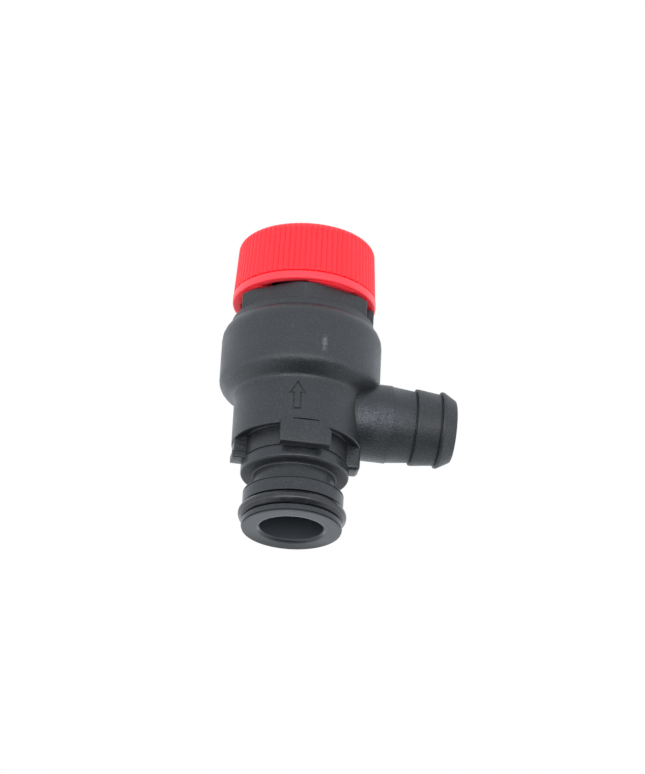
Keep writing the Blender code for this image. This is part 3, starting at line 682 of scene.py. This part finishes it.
def body_cavity():
    """Inlet bore, seat nozzle, chamber and bonnet socket."""
    mouth_r = BORE_R + BORE_CHAMFER
    return revolve("cavity", [
        (0, DRUM_TOP + CLEAR, 0),
        (BONNET_SOCKET_R, DRUM_TOP + CLEAR, 0),
        (BONNET_SOCKET_R, CLAMP_LEDGE, 0.1),
        (CHAMBER_R, CLAMP_LEDGE, 0),
        (CHAMBER_R, CHAMBER_FLOOR, 0.8),
        (SEAT_R, CHAMBER_FLOOR, 0.5),
        (SEAT_R, SEAT_TOP, 0.2),
        (BORE_R, SEAT_TOP, 0.3),
        (BORE_R, BORE_CHAMFER, 0.35),
        (mouth_r, 0, 0.12),
        (mouth_r + 0.3, -0.05, 0),
        (mouth_r + 0.3, -CLEAR, 0),
        (0, -CLEAR, 0),
    ], closed=False)


def lay_along_x(obj):
    """Turn a piece built about Z so that it lies along +X at the outlet's height."""
    lying = Matrix.Rotation(math.pi / 2, 4, "Y")
    obj.data.transform(Matrix.Translation((0, 0, OUTLET_Z * MM)) @ lying)
    return obj


def outlet_outside():
    """Hose barb with a faint step where the plain stretch ends."""
    barbs = []
    for crest in (BARB_2, BARB_1):
        barbs += [
            (BARB_CREST_R, crest + BARB_LAND, 0.3),
            (BARB_CREST_R, crest, 0.12),
            (BARB_ROOT_R - BARB_UNDERCUT, crest, 0),
            (BARB_ROOT_R - BARB_UNDERCUT, crest - 0.2, 0),
            (BARB_ROOT_R, crest - 0.35, 0),
        ]
    plain_r = OUTLET_ROOT_R - 0.1
    return lay_along_x(revolve("outlet", [
        (0, OUTLET_TIP, 0),
        (TIP_R, OUTLET_TIP, 0.5),
        *barbs,
        (plain_r, OUTLET_PLAIN_END, 0),
        (plain_r + PLAIN_STEP, OUTLET_PLAIN_END - 0.05, 0),
        (OUTLET_ROOT_R, BORE_R, 0),     # starts at the inlet bore's wall
        (0, BORE_R, 0),
    ], closed=False))


def outlet_bore():
    """Drain bore with a rounded mouth."""
    inner_end = SEAT_R + 1.5
    return lay_along_x(revolve("outlet_bore", [
        (0, OUTLET_TIP + CLEAR, 0),
        (OUTLET_BORE_R + 0.5, OUTLET_TIP + CLEAR, 0),
        (OUTLET_BORE_R + 0.5, OUTLET_TIP + 0.01, 0),
        (OUTLET_BORE_R, OUTLET_TIP - 0.4, 0.3),
        (OUTLET_BORE_R, inner_end, 0),
        (0, inner_end, 0),
    ], steps=BORE_STEPS, closed=False))


def flat_key(name, side):
    """Flat key hanging from the skirt, with one clipped top corner."""
    half = FRONT_KEY_HALF_WIDTH
    clip = FRONT_KEY_CHAMFER
    outline = [(-half, KEY_BOTTOM), (half, KEY_BOTTOM), (half, FRONT_KEY_TOP - clip),
               (half - clip, FRONT_KEY_TOP), (-half, FRONT_KEY_TOP)]
    facing = Matrix.Rotation(0.0 if side < 0 else math.pi, 4, "Z")
    return slab(name, outline, KEY_INNER, FRONT_KEY_FACE, facing @ UPRIGHT, bevel=0.18)


def side_keys():
    """Rounded key on the outlet side, and on the far side the key with a foot."""
    top = POCKET_TOP + 0.3
    middle = -SIDE_KEY_OFFSET
    half = SIDE_KEY_HALF_WIDTH
    tab_half = TAB_HALF_WIDTH
    return [
        box("side_key", (SIDE_KEY_INNER, middle - half, SIDE_KEY_BOTTOM),
            (SIDE_KEY_FACE, middle + half, top), bevel=0.9, segments=6),
        box("tab_block", (-TAB_BLOCK_FACE, -tab_half + 0.1, TAB_TOP - 0.4),
            (-SIDE_KEY_INNER, tab_half - 0.1, top), bevel=0.3, segments=4),
        box("side_tab", (-TAB_FACE, -tab_half, TAB_BOTTOM),
            (-SIDE_KEY_INNER, tab_half, TAB_TOP), bevel=0.25, segments=4),
    ]


def arrow_outline(half_shaft, half_head, foot, neck, tip):
    """Upright arrow as points in X and Z."""
    return [(-half_shaft, foot), (half_shaft, foot), (half_shaft, neck), (half_head, neck),
            (0.0, tip), (-half_head, neck), (-half_shaft, neck)]


def flow_arrow():
    """Groove round an arrow on the front of the waist, which points the way the water takes."""
    place = Matrix.Rotation(math.radians(-9), 4, "Z") @ UPRIGHT
    outside = arrow_outline(half_shaft=0.85, half_head=1.75, foot=20.5, neck=23.9, tip=26.7)
    inside = arrow_outline(half_shaft=0.5, half_head=1.05, foot=20.85, neck=24.25, tip=26.05)
    groove = slab("flow_arrow", outside, SKIRT_R - 0.35, SKIRT_R + 1, place)
    core = slab("arrow_core", inside, SKIRT_R - 1, SKIRT_R + 2, place)
    combine(groove, core, "DIFFERENCE")
    return groove


def valve_body():
    """One-piece moulded body."""
    body = body_outside()
    keys = [flat_key("front_key", -1), flat_key("back_key", 1), *side_keys()]
    for addition in (outlet_outside(), *keys):
        combine(body, addition, "UNION")
    slot_bottom = FRONT_KEY_TOP + 0.05
    slot = box("slot", (-SLOT_HALF_WIDTH, -FRONT_KEY_FACE - 0.9, slot_bottom),
               (SLOT_HALF_WIDTH, -SLOT_INNER, slot_bottom + SLOT_HEIGHT))
    for cutter in (slot, flow_arrow(), body_cavity(), outlet_bore()):
        combine(body, cutter, "DIFFERENCE")
    body.name = "valve_body_moulding"
    return body


def inlet_oring():
    """Plain O-ring, its section drawn as a polygon of many sides."""
    middle = ORING_OUTER_R - ORING_SECTION_R
    turns = [2 * math.pi * side / ORING_SIDES for side in range(ORING_SIDES)]
    return revolve("inlet_oring_fine", [
        (middle + ORING_SECTION_R * math.cos(turn), ORING_Z + ORING_SECTION_R * math.sin(turn), 0)
        for turn in turns
    ])


def cam_start(index):
    """Angle at which a knob lobe begins, seen from above."""
    return LOBE_CENTRE - LOBE_SPAN / 2 + index * 2 * math.pi / CAM_COUNT


def hexagon_outline(flats, corner_round):
    """Hexagon with rounded corners, as points in X and Y."""
    points = []
    corner_r = flats / math.sqrt(3) - corner_round / math.cos(math.pi / 6)
    for corner in range(6):
        angle = HEX_CORNER_ANGLE + corner * math.pi / 3
        for step in range(-2, 3):
            local = angle + step * math.pi / 12
            points.append((corner_r * math.cos(angle) + corner_round * math.cos(local),
                           corner_r * math.sin(angle) + corner_round * math.sin(local)))
    return points


def hexagon():
    """The spanner hexagon, with its crown of bevelled corners, open in the middle."""
    outline = hexagon_outline(HEX_FLATS, HEX_CORNER_ROUND)
    block = slab("hexagon", outline, HEX_BOTTOM, HEX_TOP, bevel=0.15)
    crown_foot_r = CROWN_R + CROWN_SLOPE * CROWN_DROP
    crown = revolve("crown", [
        (0, HEX_TOP + 0.3, 0),
        (CROWN_R - CROWN_SLOPE * 0.3, HEX_TOP + 0.3, 0),
        (crown_foot_r, HEX_TOP - CROWN_DROP, 0),
        (crown_foot_r, HEX_BOTTOM - 1, 0),
        (0, HEX_BOTTOM - 1, 0),
    ], closed=False)
    combine(block, crown, "INTERSECT")
    hole = revolve("hole", [
        (0, HEX_TOP + 1, 0),
        (SPRING_CHAMBER_R + 0.6, HEX_TOP + 1, 0),
        (SPRING_CHAMBER_R + 0.6, HEX_BOTTOM - 1, 0),
        (0, HEX_BOTTOM - 1, 0),
    ], steps=BORE_STEPS, closed=False)
    combine(block, hole, "DIFFERENCE")
    return block


def bonnet():
    """Barrel, collar, hexagon, turret, cam ramps and the lock pawl."""
    under_hexagon = HEX_FLATS / 2 - 1.5
    shoulder_in = COLLAR_R - (DRUM_R - SHOULDER_ROUND)
    shoulder_z = DRUM_TOP - SHOULDER_ROUND + math.sqrt(SHOULDER_ROUND ** 2 - shoulder_in ** 2)
    part = revolve("bonnet_moulding", [
        (TURRET_R, TURRET_TOP, 0.4),
        (TURRET_R, HEX_TOP - 0.3, 0),
        (under_hexagon, HEX_TOP - 0.3, 0),
        (under_hexagon, HEX_BOTTOM + 0.3, 0),
        (COLLAR_R, HEX_BOTTOM + 0.3, 0.25),
        (COLLAR_R, shoulder_z + 0.3, 0.2),
        (COLLAR_R + FLARE, shoulder_z - FLARE_SINK, 0),
        (BONNET_R + 0.4, DRUM_TOP + 0.15, 0),
        (BONNET_R, DRUM_TOP + 0.15, 0),
        (BONNET_R, BONNET_BOTTOM, 0.3),
        (SPRING_CHAMBER_R, BONNET_BOTTOM, 0.2),
        (SPRING_CHAMBER_R, TURRET_TOP, 0.2),
    ])
    combine(part, hexagon(), "UNION")
    pawl = box("pawl", (under_hexagon, -PAWL_HALF_WIDTH, HEX_BOTTOM - 0.2),
               (PAWL_FACE, PAWL_HALF_WIDTH, HEX_TOP - 0.2), bevel=0.3)
    combine(part, pawl, "UNION")
    ramp_span = 2 * math.pi / CAM_COUNT - LOBE_SPAN - 2 * CAM_END_GAP
    rise = LIFT * ramp_span / LIFT_TURN
    for index in range(CAM_COUNT):
        start = cam_start(index) + LOBE_SPAN + CAM_END_GAP
        cam_ramp = ring_sector("ramp", TURRET_R - 0.5, RAMP_OUTER_R, HEX_TOP - 0.5,
                               (HEX_TOP + 0.02, HEX_TOP + rise), start, ramp_span)
        combine(part, cam_ramp, "UNION")
    return part


def rib_shape(r, z, angle):
    """Ribs cut into the grip's outside, deepest half way between two crests."""
    outer = RIB_CREST_R - GRIP_TAPER * (z - BAND_TOP)
    wall_start = outer - 0.4 * TOP_ROUND
    on_grip = min(1.0, max(0.0, (z - BAND_TOP - 0.1) / 0.35))
    on_wall = min(1.0, max(0.0, (r - wall_start) / (0.35 * TOP_ROUND)))
    groove = (0.5 - 0.5 * math.cos(RIB_COUNT * angle)) ** RIB_SHARPNESS
    return r - RIB_DEPTH * groove * on_grip * on_wall


def knob():
    """Test knob: smooth band, ribbed grip, recess for the cap, hub and cam lobes."""
    top_r = RIB_CREST_R - GRIP_TAPER * (KNOB_TOP - BAND_TOP)
    part = revolve("knob_moulding", [
        (RECESS_R, KNOB_TOP, 0.2),
        (top_r, KNOB_TOP, TOP_ROUND),
        (RIB_CREST_R, BAND_TOP + 0.4, 0),
        (RIB_CREST_R - 0.4, BAND_TOP + 0.25, 0),
        (RIB_CREST_R - 0.4, BAND_TOP + 0.05, 0),
        (BAND_R, BAND_TOP - 0.05, 0.12),
        (BAND_R, KNOB_BOTTOM, 0.4),
        (KNOB_INNER_R, KNOB_BOTTOM, 0.15),
        (KNOB_INNER_R, KNOB_CEILING, 0.5),
        (HUB_R, KNOB_CEILING, 0.3),
        (HUB_R, HUB_BOTTOM, 0.1),
        (SCREW_HOLE_R, HUB_BOTTOM, 0),
        (SCREW_HOLE_R, RECESS_FLOOR, 0),
        (RECESS_R, RECESS_FLOOR, 0.2),
    ], steps=STEPS_PER_RIB * RIB_COUNT, shape=rib_shape)
    for index in range(CAM_COUNT):
        lobe = ring_sector("lobe", CAM_INNER_R, KNOB_INNER_R + 0.6, LOBE_BOTTOM,
                           (LOBE_TOP, LOBE_TOP), cam_start(index), LOBE_SPAN)
        combine(part, lobe, "UNION")
    return part


def dull_underside(piece, material):
    """Give the knob's lower rim, inside and lobes the dull finish that they have off the tool."""
    piece.data.materials.append(material)
    inner_r = (KNOB_INNER_R + 0.05) * MM
    ceiling = (KNOB_CEILING + 0.3) * MM
    facing_down = -0.75
    for polygon in piece.data.polygons:
        centre = polygon.center
        inside = math.hypot(centre.x, centre.y) < inner_r and centre.z < ceiling
        if inside or polygon.normal.z < facing_down:
            polygon.material_index = 1


def turn_arrow(radius, width, head, start, end):
    """Outline of an arrow bent round an arc, pointing anticlockwise."""
    steps = 16
    angles = [start + (end - start) * step / steps for step in range(steps + 1)]
    tip = end + head / radius
    polar = [(radius + width / 2, a) for a in angles]
    polar += [(radius + head / 1.6, end), (radius, tip), (radius - head / 1.6, end)]
    polar += [(radius - width / 2, a) for a in reversed(angles)]
    return [(r * math.cos(a), r * math.sin(a)) for r, a in polar]


def knob_cap():
    """Blank cap over the screw, with a raised arrow that shows which way the knob turns."""
    top = KNOB_TOP - 0.1
    floor = top - CAP_DISH
    cap = revolve("knob_cap_moulding", [
        (0, floor, 0),
        (CAP_R - 0.7, floor, 0.1),
        (CAP_R - 0.5, top, 0.1),
        (CAP_R, top, 0.2),
        (CAP_R, top - CAP_THICKNESS, 0),
        (0, top - CAP_THICKNESS, 0),
    ], closed=False)
    outline = turn_arrow(radius=2.7, width=0.7, head=1.1,
                         start=math.radians(-150), end=math.radians(90))
    arrow = slab("turn_arrow", outline, floor - 0.1, top - 0.12)
    combine(cap, arrow, "UNION")
    return cap


# ---------------------------------------------------------------- camera, light and floor

VIEW_AZIMUTH = math.radians(-8.0)
VIEW_ELEVATION = math.radians(-24.5)
VIEW_ROLL = math.radians(3.2)
VIEW_DISTANCE = 1200.0
VIEW_HEIGHT = 153.3                 # what the frame's long side spans at the origin's distance
AIM_RIGHT = 6.2                     # the view's centre, right of and above the origin
AIM_UP = 28.3
SENSOR = 36.0

LIT_POINT = (6.0, 0.0, 30.0)        # what the two lights aim at
LIGHT_DISTANCE = 0.9                # in metres, as are the lights' sizes and rises
SOFT_SIZE = (0.3, 0.3)
SOFT_RISE = 0.16
STRIP_SIZE = (1.3, 0.22)
STRIP_RISE = 0.15
FLOOR_HALF = 4000.0
FLOOR_Z = -1400.0
FLOOR_DARK = (0.88, 0.88, 0.88, 1.0)
FLOOR_LIGHT = (0.92, 0.92, 0.92, 1.0)
WHITE = (1.0, 1.0, 1.0, 1.0)

SKY_BRIGHT = (1.02, 1.07, 1.14, 1.0)
SKY_DARK = (0.05, 0.055, 0.06, 1.0)
SKY_GLOW = (2.2, 2.3, 2.4, 1.0)     # bright band a little below the horizon
GLOW_HEIGHT = -0.13
GLOW_WIDTH = 0.15
DARK_DIRECTION = (0.10, -0.50, -0.86)
DARK_INNER = math.radians(32)
DARK_OUTER = math.radians(45)


def view_axes():
    """Forward, right and up of the camera, the last two rolled."""
    forward = Vector((-math.sin(VIEW_AZIMUTH) * math.cos(VIEW_ELEVATION),
                      math.cos(VIEW_AZIMUTH) * math.cos(VIEW_ELEVATION), -math.sin(VIEW_ELEVATION)))
    right = Vector((math.cos(VIEW_AZIMUTH), math.sin(VIEW_AZIMUTH), 0.0))
    up = right.cross(forward)
    rolled_right = right * math.cos(VIEW_ROLL) + up * math.sin(VIEW_ROLL)
    rolled_up = up * math.cos(VIEW_ROLL) - right * math.sin(VIEW_ROLL)
    return forward, rolled_right, rolled_up


def add_camera():
    """Long-lens camera, below the valve and a little to the left of the front key."""
    forward, right, up = view_axes()
    data = bpy.data.cameras.new("camera")
    data.sensor_width = SENSOR
    data.lens = SENSOR * VIEW_DISTANCE / VIEW_HEIGHT
    data.clip_start = 0.01
    data.clip_end = 20.0
    camera = bpy.data.objects.new("camera", data)
    bpy.context.scene.collection.objects.link(camera)
    place = (right * AIM_RIGHT + up * AIM_UP - forward * VIEW_DISTANCE) * MM
    turn = Matrix((right, up, -forward)).transposed().to_4x4()
    camera.matrix_world = Matrix.Translation(place) @ turn
    bpy.context.scene.camera = camera


def add_area(name, position, target, size, power):
    """Soft light of the given width and height, aimed at a point."""
    data = bpy.data.lights.new(name, "AREA")
    data.shape = "RECTANGLE"
    data.size, data.size_y = size
    data.energy = power
    light = bpy.data.objects.new(name, data)
    bpy.context.scene.collection.objects.link(light)
    light.location = position
    light.rotation_euler = (Vector(target) - Vector(position)).to_track_quat("-Z", "Y").to_euler()
    return light


def sky_light(world):
    """White all round, with a glow under the horizon and a dark patch below and in front.

    The camera itself sees plain white, and diffuse light neither the glow nor the patch.
    """
    towards = add_node(world, "ShaderNodeTexCoord").outputs["Generated"]
    share = add_node(world, "ShaderNodeVectorMath", {0: towards, 1: DARK_DIRECTION},
                     operation="DOT_PRODUCT").outputs["Value"]
    patch = map_range(world, share, math.cos(DARK_OUTER), math.cos(DARK_INNER), 0.0, 1.0)
    height = add_node(world, "ShaderNodeSeparateXYZ", {"Vector": towards}).outputs["Z"]
    off_glow = distance_from(world, height, GLOW_HEIGHT)
    glow = map_range(world, off_glow, 0.0, GLOW_WIDTH, 1.0, 0.0)
    rays = add_node(world, "ShaderNodeLightPath").outputs
    not_diffuse = math_node(world, "SUBTRACT", 1.0, rays["Is Diffuse Ray"])
    colour = mix_colours(world, product(world, glow, not_diffuse), SKY_BRIGHT, SKY_GLOW)
    colour = mix_colours(world, product(world, patch, not_diffuse), colour, SKY_DARK)
    colour = mix_colours(world, rays["Is Camera Ray"], colour, WHITE)
    link(world, colour, world.node_tree.nodes["Background"].inputs["Color"])


def add_studio():
    """White surroundings, two lights above the camera and a pale floor far below."""
    world = bpy.data.worlds.new("studio")
    bpy.context.scene.world = world
    world.use_nodes = True
    sky_light(world)
    forward, _, up = view_axes()
    centre = Vector(LIT_POINT) * MM
    behind_view = centre - forward * LIGHT_DISTANCE
    soft = add_area("front_soft", behind_view + up * SOFT_RISE, centre, SOFT_SIZE, power=3.5)
    soft.visible_glossy = False
    strip = add_area("front_strip", behind_view + up * STRIP_RISE, centre, STRIP_SIZE, power=3.0)
    strip.visible_diffuse = False
    bm = bmesh.new()
    bmesh.ops.create_grid(bm, x_segments=1, y_segments=1, size=FLOOR_HALF)
    bmesh.ops.translate(bm, vec=(0, 0, FLOOR_Z), verts=bm.verts)
    floor = from_bmesh("floor", bm)
    material, shader = principled("floor_paper", (0.9, 0.9, 0.9), 0.8)
    coords, _, _, _ = object_coords(material)
    tone = mix_colours(material, noise(material, coords, 300.0), FLOOR_DARK, FLOOR_LIGHT)
    link(material, tone, shader.inputs["Base Color"])
    floor.data.materials.append(material)
    floor.visible_diffuse = False
    floor.visible_glossy = False
    bpy.context.scene.view_settings.view_transform = "Standard"


# ---------------------------------------------------------------- assembly

add_camera()
add_studio()

BODY_NYLON = nylon("body_nylon", is_body=True)
BONNET_NYLON = nylon("bonnet_nylon")
RED = red_plastic("red_plastic", gloss=0.5, scatter=0.1)
MATT_RED = red_plastic("red_plastic_matt", gloss=0.08, scatter=0.9)
keep(valve_body(), "housing", "valve_body", BODY_NYLON)
keep(inlet_oring(), "housing", "inlet_oring", rubber("seal_rubber", 0.27))
keep(bonnet(), "housing", "bonnet", BONNET_NYLON)
KNOB = keep(knob(), "knob", "knob", RED)
dull_underside(KNOB, MATT_RED)
keep(knob_cap(), "knob", "knob_cap", RED)

BRASS = turned_metal("brass", (0.80, 0.58, 0.28), (0.62, 0.44, 0.20), 0.28)
ZINC = turned_metal("zinc_steel", (0.66, 0.66, 0.63), (0.50, 0.50, 0.47), 0.30)
WIRE = turned_metal("spring_steel", (0.42, 0.42, 0.43), (0.30, 0.30, 0.31), 0.34)
DIAPHRAGM_RUBBER = rubber("diaphragm_rubber", 0.5)
ACETAL = acetal()
CAD_FINISHES = {
    "spindle": BRASS, "disc_holder": BRASS, "clamp_nut": BRASS, "lower_spring_plate": BRASS,
    "adjusting_ring": BRASS, "seal_plate": ZINC, "seal_screw": ZINC, "clamp_washer": ZINC,
    "thrust_washer": ZINC, "knob_screw": ZINC, "knob_washer": ZINC, "main_spring": WIRE,
    "seat_seal": DIAPHRAGM_RUBBER, "diaphragm": DIAPHRAGM_RUBBER, "slip_ring": ACETAL,
    "spindle_bush": ACETAL,
}
for node_name, finish in CAD_FINISHES.items():
    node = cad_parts[node_name]
    node.data.materials.clear()
    node.data.materials.append(finish)

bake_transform(springy_copy("main_spring"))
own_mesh(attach(springy_copy("diaphragm"), "housing"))
